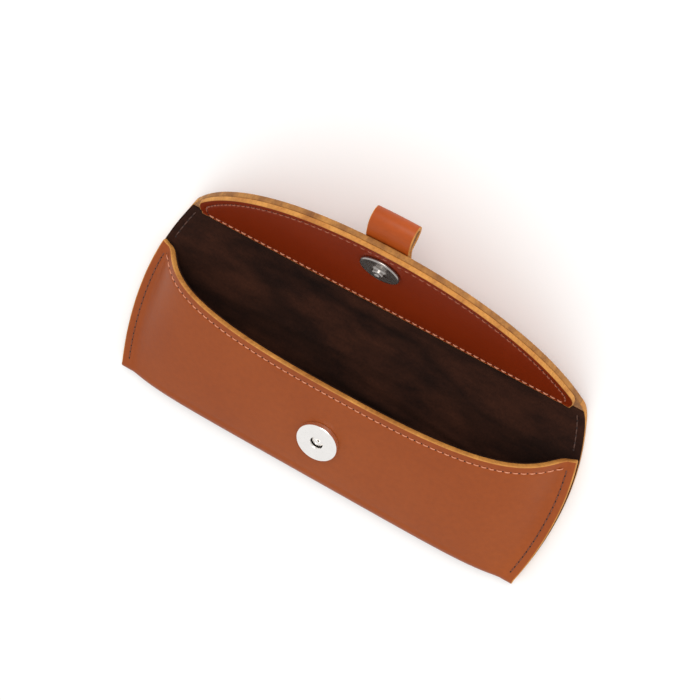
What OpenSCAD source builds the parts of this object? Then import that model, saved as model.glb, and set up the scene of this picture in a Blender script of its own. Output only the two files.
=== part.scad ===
// Eyeglasses case of folded leather: an open pouch lying on its back, with a suede
// lining, a flap that folds over the mouth, a magnetic snap and a pull tab.
// X runs along the case, Y from the bottom fold to the flap, Z up from the back's face.

/* [Case outline] */
// Half of the greatest width
case_half = 95; // [90:1:100]
// Distance from the bottom fold to the widest line
widest_y = 30; // [28:1:32]
// How far each bottom corner is drawn in from the widest line
corner_in = 3; // [1:0.5:4]
// Length of leather from the bottom fold to the flap's tip
tip_s = 131; // [130:0.5:132]
// Fullness of the outline from the widest line to the tip, 2 for an ellipse
outline_n = 2.1; // [2:0.05:2.2]
// Length of the sewn sides
seam_y = 59.3; // [58.5:0.1:60]

/* [Leather] */
// Thickness of the outer leather
leather_t = 2.2; // [2:0.1:2.4]
// Thickness of the suede lining
lining_t = 0.7; // [0.6:0.1:0.8]
// Thickness of the leather that faces the flap's inside
facing_t = 1.8; // [1.6:0.1:1.9]

/* [Front panel] */
// Height of the bottom fold in the middle
bottom_h = 9; // [8:0.5:10]
// Height of the mouth's edge in the middle
mouth_h = 21.2; // [18:0.2:22]
// How deep the mouth's edge dips in the middle
scoop = 14.8; // [12:0.2:16]
// Shape of the dip, 2 for a parabola and more for a flatter middle
scoop_n = 2.7; // [2:0.1:3]
// Width of the flat sewn flange at each side
flange_w = 5.5; // [5:0.5:7]
// Length over which the front rises from the flange
rise_len = 11; // [9:0.5:14]
// Softness of the bend at the foot of the rise
foot_r = 2; // [1:0.5:3]

/* [Flap] */
// Leather length at which the bridge folds up from the pouch
bridge_s = 60.5; // [60.3:0.1:61]
// Leather length at which the bridge is bent up
bend_s = 76.2; // [75.5:0.1:77]
// Angle of that bend, set into the leather
bend_deg = 47; // [45:1:50]
// Leather length at which the facing begins
facing_s = 78.9; // [78.5:0.1:80]
// How far the facing's corners stand in from the edge
facing_inset = 5.4; // [3:0.2:6]
// Leather length over which the facing reaches the edge
facing_run = 11; // [9:0.5:12]
// Leather length at which the flap folds over the mouth
flap_s = 92; // [91.5:0.1:92.5]
// Half angle of the opening behind the flap's fold
relief_deg = 16; // [16:0.5:18]

/* [Snap] */
// Distance of the snap's socket from the bottom fold
socket_y = 18.8; // [18.4:0.1:19.2]
// Diameter of the socket
socket_d = 17.6; // [16.5:0.1:18]
// Height of the socket
socket_h = 2.6; // [2.4:0.1:2.8]
// Diameter of the hole in the socket
socket_hole = 5.4; // [5.2:0.1:5.6]
// Leather length at which the stud sits
stud_s = 117.9; // [117:0.1:118.5]
// Diameter of the stud's disc
stud_d = 15.8; // [15:0.1:16.5]
// Height of the stud's disc
stud_h = 1.3; // [1.2:0.1:1.4]
// Diameter of the nub
nub_d = 4.5; // [4.2:0.1:4.8]
// Height of the nub above the disc
nub_h = 1.4; // [1.2:0.1:1.6]

/* [Pull tab] */
// Width of the tab
tab_w = 16.7; // [15:0.1:18]
// Thickness of the tab's leather
tab_t = 1.5; // [1.3:0.1:1.6]
// Clear height inside the loop
tab_gap = 4.8; // [4.6:0.1:5.2]
// Reach of the loop past the flap's tip
tab_out = 10.5; // [10:0.5:12]
// Length of the ends sewn to the back of the flap
tab_root = 13; // [11:0.5:15]
// Angle between the loop and the flap
tab_deg = 41; // [36:1:44]

/* [Stitching] */
// Distance from stitch to stitch
pitch = 2.85; // [2.6:0.05:3.2]
// Diameter of the thread
thread_d = 0.6; // [0.5:0.05:0.7]
// Distance of the stitches from the edge
margin = 3.2; // [2.8:0.1:3.6]

/* [Hidden] */

leather_colour = [0.63, 0.30, 0.16];
suede_colour = [0.20, 0.12, 0.08];
thread_colour = [0.80, 0.52, 0.40];
metal_colour = [0.88, 0.87, 0.85];
dark_colour = [0.30, 0.30, 0.32];

// Space between two parts that turn against each other, and between layers
fold_gap = 0.3;
skin_gap = 0.02;
// How far the flat stretches run into the curved one, so that they are one solid
lap = 0.05;
// Height of the inner face of the back, and of the flap's facing
inner_z = leather_t + lining_t;
facing_z = leather_t + facing_t;
// Height of the sewn flanges: back, two linings and front
seam_h = 2 * inner_z;
mouth_y = seam_y - scoop;
// How much the front's edge stands in from the back's
front_trim = 0.4;
// Steps of the outlines and of the front's surface
outline_steps = 28;
cols = 36;
turn_rows = 6;
face_rows = 9;

// ---- outline of the leather, laid flat ----

// Half width at leather length s
function half(s) =
    s < widest_y
        ? case_half - corner_in * pow((widest_y - s) / widest_y, 2)
        : case_half * pow(max(0, 1 - pow((s - widest_y) / (tip_s - widest_y), outline_n)), 1 / outline_n);

// Leather length at angle a of the outline's upper part
function s_at(a) = widest_y + (tip_s - widest_y) * pow(sin(a), 2 / outline_n);
function a_at(s) = asin(pow((s - widest_y) / (tip_s - widest_y), outline_n / 2));

// Half width of the facing, which comes in at its two corners
function facing_half(s) =
    half(s) - facing_inset * pow(max(0, 1 - (s - facing_s) / facing_run), 1.6);

// Steps in leather length from s0 to s1, even along the curve
function run_of(s0, s1) =
    s1 <= widest_y + 1
        ? [for (i = [0 : outline_steps]) s0 + (s1 - s0) * i / outline_steps]
        : s0 >= widest_y
            ? [for (i = [0 : outline_steps]) s_at(a_at(s0) + (a_at(s1) - a_at(s0)) * i / outline_steps)]
            : [for (i = [0 : outline_steps]) s0 + (s1 - s0) * i / outline_steps];

module flat_piece(s0, s1, z0, t, facing = false) {
    run = run_of(s0, s1);
    right = [for (s = run) [facing ? facing_half(s) : half(s), s]];
    left = [for (i = [len(run) - 1 : -1 : 0]) [-right[i][0], run[i]]];
    translate([0, 0, z0])
        linear_extrude(t)
            polygon(concat(right, left));
}

// ---- places ----

// The origin is at the middle of the back's outer face
module in_frame() {
    translate([0, -widest_y, 0]) children();
}

// Everything past the set bend is drawn flat and turned up by this
module past_bend() {
    translate([0, bend_s, inner_z])
        rotate([bend_deg, 0, 0])
            translate([0, -bend_s, -inner_z])
                children();
}

// The socket's seat on the front's outer face, with Z out of the leather
module on_front() {
    slope = atan((crown(socket_y + 1) - crown(socket_y - 1)) / 2);
    translate([0, socket_y, crown(socket_y) + skin_gap])
        rotate([slope, 0, 0])
            children();
}

// The stud's seat on the facing
module on_facing() {
    past_bend()
        translate([0, stud_s, facing_z])
            children();
}

// ---- the front's surface ----

function edge_x(y) = half(y) - front_trim;
function crown(y) = bottom_h + (mouth_h - bottom_h) * pow(max(y, 0) / mouth_y, 0.9);
function rise(x, y) =
    let (d = max(0, half(y) - flange_w - abs(x)))
    1 - exp(-(sqrt(d * d + foot_r * foot_r) - foot_r) / rise_len);
function front_z(x, y) = seam_h + (crown(y) - seam_h) * rise(x, y);
function mouth_line(u) = seam_y - scoop * (1 - pow(abs(u), scoop_n));

// Column i runs from the left edge to the right, closer together near the edges
function col_u(i) = sin(-90 + 180 * i / cols);

// Row j turns round the bottom fold and then runs up the front to the mouth
function skin(i, j) =
    let (u = col_u(i))
    j < turn_rows
        ? let (h = front_z(u * edge_x(0), 0), a = -90 + 180 * j / turn_rows)
            [u * edge_x(0), -h / 2 * cos(a), h / 2 + h / 2 * sin(a)]
        : let (y = mouth_line(u) * (j - turn_rows) / face_rows, x = u * edge_x(y))
            [x, y, front_z(x, y)];

function clip(v, top) = min(max(v, 0), top);
function unit(v) = v / norm(v);
function normal(i, j) =
    unit(cross(
        skin(clip(i + 1, cols), j) - skin(clip(i - 1, cols), j),
        skin(i, clip(j + 1, turn_rows + face_rows)) - skin(i, clip(j - 1, turn_rows + face_rows))
    ));
// The two ends of the turn meet the flat back, so they are offset straight up or down
function under(i, j, d) =
    j == 0
        ? skin(i, j) + [0, 0, d]
        : skin(i, j) - d * normal(i, j);

// A closed shell between two depths below the front's outer face, from row j0 up
module front_shell(j0, d0, d1) {
    rows = turn_rows + face_rows - j0;
    across = cols + 1;
    layer = across * (rows + 1);
    points = concat(
        [for (j = [0 : rows]) for (i = [0 : cols]) under(i, j + j0, d0)],
        [for (j = [0 : rows]) for (i = [0 : cols]) under(i, j + j0, d1)]
    );
    top = [for (j = [0 : rows - 1]) for (i = [0 : cols - 1])
        let (a = j * across + i)
        each [[a, a + across, a + 1], [a + 1, a + across, a + across + 1]]];
    bottom = [for (f = top) [f[2] + layer, f[1] + layer, f[0] + layer]];
    ends = [for (i = [0 : cols - 1])
        let (a = i, b = rows * across + i)
        each [
            [a, a + 1, a + layer], [a + 1, a + 1 + layer, a + layer],
            [b + 1, b, b + layer], [b + 1, b + layer, b + 1 + layer]
        ]];
    sides = [for (j = [0 : rows - 1])
        let (a = j * across, b = j * across + cols)
        each [
            [a + across, a, a + layer], [a + across, a + layer, a + across + layer],
            [b, b + across, b + layer], [b + across, b + across + layer, b + layer]
        ]];
    polyhedron(points, concat(top, bottom, ends, sides), convexity = 6);
}

// ---- stitches ----

// One stitch lying from point p to point q
module stitch(p, q) {
    v = q - p;
    translate(p)
        rotate([0, acos(v[2] / norm(v)), atan2(v[1], v[0])])
            cylinder(d = thread_d, h = norm(v), $fn = 16);
}

// Stitches along a list of points a pitch apart, each a little shorter than the pitch
module stitch_row(points) {
    for (i = [0 : len(points) - 2])
        stitch(points[i] + 0.14 * (points[i + 1] - points[i]), points[i + 1]);
}

function lift(z) = z + thread_d / 2 + skin_gap;
function seam_count() = floor((seam_y - 2 * margin) / pitch);
function seam_points(side) =
    [for (i = [0 : seam_count()])
        let (y = margin + i * pitch)
        [side * (edge_x(y) - margin), y, lift(seam_h)]];

// Direction out of the front's surface
function front_out(x, y) =
    unit([front_z(x - 0.5, y) - front_z(x + 0.5, y), front_z(x, y - 0.5) - front_z(x, y + 0.5), 1]);

// Place of a mouth stitch, just below the mouth's edge and clear of the curved leather
mouth_stitches = 62;
curve_gap = 0.12;
function mouth_stitch(k) =
    let (u = 0.955 * (2 * k / mouth_stitches - 1), y = mouth_line(u) - margin, x = u * edge_x(y))
    [x, y, front_z(x, y)] + (lift(0) + curve_gap) * front_out(x, y);

// Points a pitch apart along the flap's edge, set in by the margin
flap_row_steps = 52;
function edge_point(a, inset) =
    let (s = s_at(a), x = half(s))
    [(x - inset * cos(a)), s - inset * sin(a)];
function flap_row(side, a0, a1, steps, z) =
    [for (i = [0 : steps])
        let (p = edge_point(a0 + (a1 - a0) * i / steps, margin))
        [side * p[0], p[1], z]];

// ---- pouch ----

module back_panel() {
    color(leather_colour)
        in_frame() flat_piece(0.05, bridge_s - fold_gap / 2, 0, leather_t);
}

module front_panel() {
    color(leather_colour)
        in_frame() front_shell(0, 0, leather_t);
}

module back_lining() {
    color(suede_colour)
        in_frame() flat_piece(0.05, bridge_s - fold_gap / 2, leather_t, lining_t);
}

module front_lining() {
    color(suede_colour)
        in_frame() front_shell(turn_rows, leather_t + skin_gap, inner_z - skin_gap);
}

module left_seam_thread() {
    color(thread_colour)
        in_frame() stitch_row(seam_points(-1));
}

module right_seam_thread() {
    color(thread_colour)
        in_frame() stitch_row(seam_points(1));
}

module mouth_thread() {
    color(thread_colour)
        in_frame() stitch_row([for (k = [0 : mouth_stitches]) mouth_stitch(k)]);
}

// ---- snap ----

cap_wall = 0.4;
rim_r = 0.5;
plate_d = 13;
plate_t = 0.25;
// Space that keeps the flat socket plate off the curved leather above it
plate_seat = 0.15;
prong_w = 2;
prong_t = 0.25;
prong_x = 3.5;
prong_reach = 2.6;
snap_fn = 72;

// Section of a disc with a rounded upper rim, turned round Z
module rounded_disc(r, h, rim) {
    rotate_extrude($fn = snap_fn)
        union() {
            square([r - rim, h]);
            square([r, h - rim]);
            translate([r - rim, h - rim]) circle(rim, $fn = 24);
        }
}

// Two legs that pass through leather of thickness t and are bent out behind it
module prongs(t) {
    for (side = [-1, 1]) {
        translate([side * prong_x - prong_t / 2, -prong_w / 2, -t - plate_t - prong_t])
            cube([prong_t, prong_w, t + plate_t + prong_t - skin_gap]);
        translate([side > 0 ? prong_x : -prong_x - prong_reach, -prong_w / 2, -t - plate_t - prong_t])
            cube([prong_reach, prong_w, prong_t - skin_gap]);
    }
}

// The plate that the legs are bent over, with a slot for each
module backplate(t) {
    difference() {
        translate([0, 0, -t - plate_t])
            cylinder(d = plate_d, h = plate_t - skin_gap, $fn = snap_fn);
        for (side = [-1, 1])
            translate([side * prong_x, 0, -t])
                cube([prong_t + 0.1, prong_w + 0.1, 4 * plate_t], center = true);
    }
}

module socket_cap() {
    color(metal_colour)
        in_frame() on_front()
            difference() {
                rounded_disc(socket_d / 2, socket_h, rim_r);
                translate([0, 0, -1])
                    cylinder(d = socket_hole, h = socket_h + 2, $fn = snap_fn);
                difference() {
                    translate([0, 0, -1])
                        cylinder(r = socket_d / 2 - cap_wall, h = socket_h + 1 - cap_wall, $fn = snap_fn);
                    translate([0, 0, -2])
                        cylinder(r = socket_hole / 2 + cap_wall, h = socket_h + 2, $fn = snap_fn);
                }
            }
}

module socket_magnet() {
    color(dark_colour)
        in_frame() on_front()
            difference() {
                translate([0, 0, skin_gap])
                    cylinder(r = socket_d / 2 - cap_wall - 0.05, h = socket_h - cap_wall - 0.1, $fn = snap_fn);
                translate([0, 0, -1])
                    cylinder(r = socket_hole / 2 + cap_wall + 0.05, h = socket_h + 1, $fn = snap_fn);
            }
}

module socket_prongs() {
    color(metal_colour)
        in_frame() on_front() prongs(leather_t + plate_seat);
}

module socket_backplate() {
    color(metal_colour)
        in_frame() on_front() backplate(leather_t + plate_seat);
}

module snap_stud() {
    color(metal_colour)
        in_frame() on_facing()
            translate([0, 0, skin_gap])
                union() {
                    rounded_disc(stud_d / 2, stud_h, rim_r);
                    rounded_disc(nub_d / 2, stud_h + nub_h, rim_r);
                }
}

module stud_prongs() {
    color(metal_colour)
        in_frame() on_facing() prongs(facing_t - plate_t - prong_t);
}

module stud_backplate() {
    color(metal_colour)
        in_frame() on_facing() backplate(facing_t - plate_t - prong_t);
}

// ---- bridge ----

// The curved stretch of a layer at the set bend, between two heights
module bend_sector(z0, z1) {
    steps = 8;
    ring = [for (i = [0 : steps]) -90 + bend_deg * i / steps];
    translate([-half(bend_s), bend_s, inner_z])
        rotate([90, 0, 90])
            linear_extrude(2 * half(bend_s))
                polygon(concat(
                    [for (a = ring) (inner_z - z0) * [cos(a), sin(a)]],
                    [for (i = [steps : -1 : 0]) max(inner_z - z1, 0.001) * [cos(ring[i]), sin(ring[i])]]
                ));
}

// A wedge behind the flap's fold that lets it open back
module fold_relief() {
    depth = facing_z + 1;
    past_bend()
        translate([-case_half, flap_s, facing_z])
            rotate([90, 0, 90])
                linear_extrude(2 * case_half)
                    polygon([
                        [-fold_gap / 2, 1], [fold_gap / 2, 1], [fold_gap / 2, 0],
                        [fold_gap / 2 + depth * tan(relief_deg), -depth],
                        [-fold_gap / 2 - depth * tan(relief_deg), -depth], [-fold_gap / 2, 0]
                    ]);
}

module bridge_panel() {
    color(leather_colour)
        in_frame()
            difference() {
                union() {
                    flat_piece(bridge_s + fold_gap / 2, bend_s + lap, 0, leather_t);
                    bend_sector(0, leather_t);
                    past_bend() flat_piece(bend_s - lap, flap_s, 0, leather_t);
                }
                fold_relief();
            }
}

module bridge_lining() {
    color(suede_colour)
        in_frame()
            union() {
                flat_piece(bridge_s + fold_gap / 2, bend_s + lap, leather_t, lining_t);
                bend_sector(leather_t, inner_z);
                past_bend() flat_piece(bend_s - lap, facing_s - skin_gap, leather_t, lining_t);
            }
}

module facing_base() {
    color(leather_colour)
        in_frame()
            difference() {
                past_bend() flat_piece(facing_s, flap_s, leather_t, facing_t, facing = true);
                fold_relief();
            }
}

module facing_edge_thread() {
    reach = facing_half(facing_s) - margin;
    count = floor(2 * reach / pitch);
    color(thread_colour)
        in_frame() past_bend()
            stitch_row([for (i = [0 : count])
                [-reach + 2 * reach * i / count, facing_s + margin / 2, lift(facing_z)]]);
}

// Short rows that carry the edge stitching from the seams to the facing
module bridge_thread() {
    count = floor((bend_s - bridge_s - 2) / pitch);
    color(thread_colour)
        in_frame()
            for (side = [-1, 1])
                stitch_row([for (i = [0 : count])
                    let (s = bridge_s + 1 + i * pitch)
                    [side * (half(s) - margin), s, lift(inner_z)]]);
}

// ---- flap ----

module flap_panel() {
    color(leather_colour)
        in_frame()
            difference() {
                past_bend() flat_piece(flap_s, tip_s - 0.01, 0, leather_t);
                fold_relief();
            }
}

module flap_facing() {
    pocket = plate_t + prong_t + skin_gap;
    color(leather_colour)
        in_frame()
            difference() {
                past_bend() flat_piece(flap_s, tip_s - 0.01, leather_t, facing_t, facing = true);
                fold_relief();
                past_bend()
                    translate([0, stud_s, leather_t - 1])
                        cylinder(d = plate_d + 0.4, h = pocket + 1, $fn = snap_fn);
                on_facing()
                    for (side = [-1, 1])
                        translate([side * prong_x, 0, 0])
                            cube([prong_t + 0.1, prong_w + 0.1, 3 * facing_t], center = true);
            }
}

module flap_edge_thread() {
    start = a_at(flap_s + 3);
    color(thread_colour)
        in_frame() past_bend()
            for (side = [-1, 1])
                stitch_row(flap_row(side, start, 90, flap_row_steps / 2, lift(facing_z)));
}

// One side of the loop and its round end, from the root outwards
loop_steps = 10;
function loop_side(round_r, root_w) =
    let (reach = tab_out - tab_gap / 2 - tab_t)
    concat(
        [for (i = [1 : loop_steps])
            let (t = i / loop_steps)
            [reach * t, root_w + (round_r - root_w) * sin(90 * t)]],
        [for (i = [1 : 6]) [reach + round_r * sin(15 * i), round_r * cos(15 * i)]]
    );

// The whole loop, its lower side being the mirror image of the upper one
function loop_outline(round_r, root_w) =
    let (side = loop_side(round_r, root_w))
    concat(side, [for (i = [len(side) - 2 : -1 : 0]) [side[i][0], -side[i][1]]]);

// Turns a point of the loop down about its root, which is at leather length root_s
root_s = tip_s - 1;
function turned(p) =
    [root_s + p[0] * cos(tab_deg) + p[1] * sin(tab_deg),
        -tab_t - p[0] * sin(tab_deg) + p[1] * cos(tab_deg)];

// The tab's section: two sewn ends one on the other, and the loop that joins them
module tab_section() {
    difference() {
        polygon(concat(
            [[root_s - tab_root, -2 * tab_t], [root_s - tab_root, 0], [root_s, 0]],
            [for (i = [1 : 3]) turned([-tab_t * sin(tab_deg * (1 - i / 3)), tab_t * cos(tab_deg * (1 - i / 3))])],
            [for (p = loop_outline(tab_gap / 2 + tab_t, tab_t)) turned(p)],
            [[root_s - tab_t, -2 * tab_t]]
        ));
        polygon([for (p = loop_outline(tab_gap / 2, 0)) turned(p)]);
    }
}

module pull_tab() {
    color(leather_colour)
        in_frame() past_bend()
            translate([-tab_w / 2, 0, -skin_gap])
                rotate([90, 0, 90])
                    linear_extrude(tab_w)
                        tab_section();
}

module tab_thread() {
    reach = tab_w / 2 - 2;
    count = 4;
    back_z = -2 * tab_t - skin_gap - thread_d / 2 - skin_gap;
    color(thread_colour)
        in_frame() past_bend()
            for (s = [tip_s - tab_root + 1, tip_s - 4.5])
                stitch_row([for (i = [0 : count]) [-reach + 2 * reach * i / count, s, back_z]]);
}

back_panel();
front_panel();
back_lining();
front_lining();
left_seam_thread();
right_seam_thread();
mouth_thread();
socket_cap();
socket_magnet();
socket_prongs();
socket_backplate();
bridge_panel();
bridge_lining();
facing_base();
facing_edge_thread();
bridge_thread();
flap_panel();
flap_facing();
flap_edge_thread();
snap_stud();
stud_prongs();
stud_backplate();
pull_tab();
tab_thread();
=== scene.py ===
"""Leather eyeglasses case: the looks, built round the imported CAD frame.

Shapes are worked out in millimetres in "leather coordinates": x along the case, s the leather
length from the bottom fold, z the height above the back's outer face. place() turns them into
the shared frame, with the set bend of the bridge as a smooth curve.
"""

import bpy
import numpy as np
from mathutils import Matrix, Vector


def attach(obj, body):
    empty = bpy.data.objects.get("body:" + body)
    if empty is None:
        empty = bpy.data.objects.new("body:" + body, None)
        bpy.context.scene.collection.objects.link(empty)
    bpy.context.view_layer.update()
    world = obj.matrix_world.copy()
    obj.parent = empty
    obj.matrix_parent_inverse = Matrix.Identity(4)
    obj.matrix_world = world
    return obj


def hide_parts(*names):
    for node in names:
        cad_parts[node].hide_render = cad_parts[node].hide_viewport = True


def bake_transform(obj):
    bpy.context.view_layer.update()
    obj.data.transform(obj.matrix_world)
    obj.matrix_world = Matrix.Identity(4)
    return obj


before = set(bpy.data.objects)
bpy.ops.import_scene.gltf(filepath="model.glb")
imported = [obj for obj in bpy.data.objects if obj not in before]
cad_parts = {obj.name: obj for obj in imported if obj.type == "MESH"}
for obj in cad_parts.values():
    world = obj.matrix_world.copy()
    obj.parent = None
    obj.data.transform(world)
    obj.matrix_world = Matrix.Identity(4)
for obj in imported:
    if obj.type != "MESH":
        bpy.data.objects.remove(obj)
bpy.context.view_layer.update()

# ---- sizes, in millimetres, as in the CAD model ----
MM = 0.001
CASE_HALF, WIDEST_Y, CORNER_IN, TIP_S, OUTLINE_N = 95.0, 30.0, 3.0, 131.0, 2.1
SEAM_Y, LEATHER_T, LINING_T, FACING_T = 59.3, 2.2, 0.7, 1.8
BOTTOM_H, MOUTH_H, SCOOP, SCOOP_N = 9.0, 21.2, 14.8, 2.7
FLANGE_W, RISE_LEN, FOOT_R, FRONT_TRIM = 5.5, 11.0, 2.0, 0.4
BRIDGE_S, BEND_S, BEND_DEG = 60.5, 76.2, 47.0
FACING_S, FACING_INSET, FACING_RUN = 78.9, 5.4, 11.0
SOCKET_Y, SOCKET_D, SOCKET_H, SOCKET_HOLE = 18.8, 17.6, 2.6, 5.4
STUD_S, STUD_D, STUD_H, NUB_D, NUB_H = 117.9, 15.8, 1.3, 4.5, 1.4
TAB_W, TAB_T, TAB_GAP, TAB_OUT, TAB_ROOT, TAB_DEG = 16.7, 1.5, 4.8, 10.5, 13.0, 41.0
PITCH, MARGIN = 2.85, 3.2
INNER_Z = LEATHER_T + LINING_T
FACING_Z = LEATHER_T + FACING_T
SEAM_H = 2 * INNER_Z
MOUTH_Y = SEAM_Y - SCOOP
FACING_CORNER_N, CROWN_N = 1.6, 0.9

# ---- sizes of the looks alone, in millimetres ----
# Inner radius of the bridge's set bend
BEND_R = 12.0
# Leather length where the back's piece of the hide ends and the flap's begins
CUT_S = 83.6
# Leather lengths between which the bridge and the flap bend
FOLD_ZONE = (58.3, 65.3)
# Depth and half width of the groove that a row of stitches pulls into leather
GROOVE, GROOVE_W = 0.22, 0.75
# The sewn flange narrows by FLANGE_TAPER, over TAPER_RUN from TAPER_Y on
FLANGE_TAPER, TAPER_Y, TAPER_RUN = 1.5, 35.0, 24.0
# Height of the bright plug in the socket's hole
PLUG_H = 1.15
# How far a rounded cut edge stands out of its sheet
HIDE_RIM, FACING_RIM, SUEDE_RIM, TAB_RIM = 0.45, 0.4, 0.2, 0.3
# Gaps that keep touching layers from sharing a face
GAP, WIDE_GAP = 0.02, 0.03
# Length of leather round the bottom fold, for the grain
FOLD_RUN = 14.0
# Where each piece lies on the flat leather, so that no two show the same grain
FACING_FLAT, FRONT_SUEDE_FLAT, TAB_FLAT = 300, 200, 500
# Length of leather that the tab's grain is spread over
TAB_FLAT_RUN = 60
# The flap's edge is worked out only as near to its tip as this
TIP_GAP = 1e-6


# ---- outline and places ----


def half(s):
    """Half width of the outer leather at leather length s."""
    s = np.asarray(s, float)
    low = CASE_HALF - CORNER_IN * ((WIDEST_Y - s) / WIDEST_Y) ** 2
    t = np.clip((s - WIDEST_Y) / (TIP_S - WIDEST_Y), 0, 1)
    high = CASE_HALF * (1 - t**OUTLINE_N) ** (1 / OUTLINE_N)
    return np.where(s < WIDEST_Y, low, high)


def facing_half(s):
    """Half width of the facing, drawn in at its two corners."""
    part = np.clip(1 - (np.asarray(s, float) - FACING_S) / FACING_RUN, 0, 1)
    return half(s) - FACING_INSET * part**FACING_CORNER_N


def place(x, s, z):
    """Leather coordinates to the shared frame, in millimetres, round the set bend."""
    x, s, z = np.broadcast_arrays(*(np.asarray(v, float) for v in (x, s, z)))
    bend = np.radians(BEND_DEG)
    reach = BEND_R * np.tan(bend / 2)
    angle = np.clip((s - BEND_S + reach) / (2 * reach), 0, 1) * bend
    radius = BEND_R + INNER_Z - z
    y = BEND_S - reach + radius * np.sin(angle)
    up = INNER_Z + BEND_R - radius * np.cos(angle)
    y = y + np.minimum(s - (BEND_S - reach), 0)
    past = np.maximum(s - (BEND_S + reach), 0)
    y = y + past * np.cos(bend)
    up = up + past * np.sin(bend)
    return np.stack([x, y - WIDEST_Y, up], -1)


def crown(y):
    """Height of the front along its middle."""
    return BOTTOM_H + (MOUTH_H - BOTTOM_H) * (np.maximum(y, 0) / MOUTH_Y) ** CROWN_N


def flange(y):
    """Width of the flat sewn flange, which narrows towards the mouth."""
    t = np.clip((y - TAPER_Y) / TAPER_RUN, 0, 1)
    return FLANGE_W - FLANGE_TAPER * t * t * (3 - 2 * t)


def front_height(x, y):
    """Height of the front's outer face."""
    d = np.maximum(0, half(y) - flange(y) - np.abs(x))
    lift = 1 - np.exp(-(np.sqrt(d * d + FOOT_R**2) - FOOT_R) / RISE_LEN)
    return SEAM_H + (crown(y) - SEAM_H) * lift


def mouth_line(u):
    """Leather length of the mouth's edge, for u from -1 to 1 across the case."""
    return SEAM_Y - SCOOP * (1 - np.abs(u) ** SCOOP_N)


def dent(distance):
    """Depth of the shallow groove that a row of stitches pulls into leather."""
    return GROOVE * np.exp(-(((distance - MARGIN) / GROOVE_W) ** 2))


# ---- mesh helpers ----


def spaced(count, edge=0.55):
    """Numbers from -1 to 1, closer together towards both ends."""
    t = np.linspace(-1, 1, count + 1)
    return (1 - edge) * t + edge * np.sin(np.pi / 2 * t)


def normals(grid):
    """Unit normals of a grid of points."""
    across = np.gradient(grid, axis=1)
    along = np.gradient(grid, axis=0)
    n = np.cross(across, along)
    size = np.linalg.norm(n, axis=-1, keepdims=True)
    return n / np.maximum(size, 1e-9)


def new_mesh(name, points, faces, materials, face_material=None, flat=None):
    """An object from points in millimetres; flat is where each point lies on the flat leather."""
    mesh = bpy.data.meshes.new(name)
    mesh.from_pydata((np.asarray(points) * MM).tolist(), [], faces)
    for material in materials:
        mesh.materials.append(material)
    if face_material is not None:
        mesh.polygons.foreach_set("material_index", np.asarray(face_material, np.int32))
    mesh.polygons.foreach_set("use_smooth", np.ones(len(mesh.polygons), bool))
    if flat is not None:
        layer = mesh.attributes.new("flat", "FLOAT_VECTOR", "POINT")
        layer.data.foreach_set("vector", (np.asarray(flat) * MM).astype(np.float32).ravel())
    mesh.validate()
    mesh.update()
    obj = bpy.data.objects.new(name, mesh)
    bpy.context.scene.collection.objects.link(obj)
    return obj


def border(rows, cols):
    """Indices of a grid's border, once round."""
    top = [(0, i) for i in range(cols)]
    right = [(j, cols - 1) for j in range(1, rows)]
    low = [(rows - 1, i) for i in range(cols - 2, -1, -1)]
    left = [(j, 0) for j in range(rows - 2, 0, -1)]
    return top + right + low + left


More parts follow.
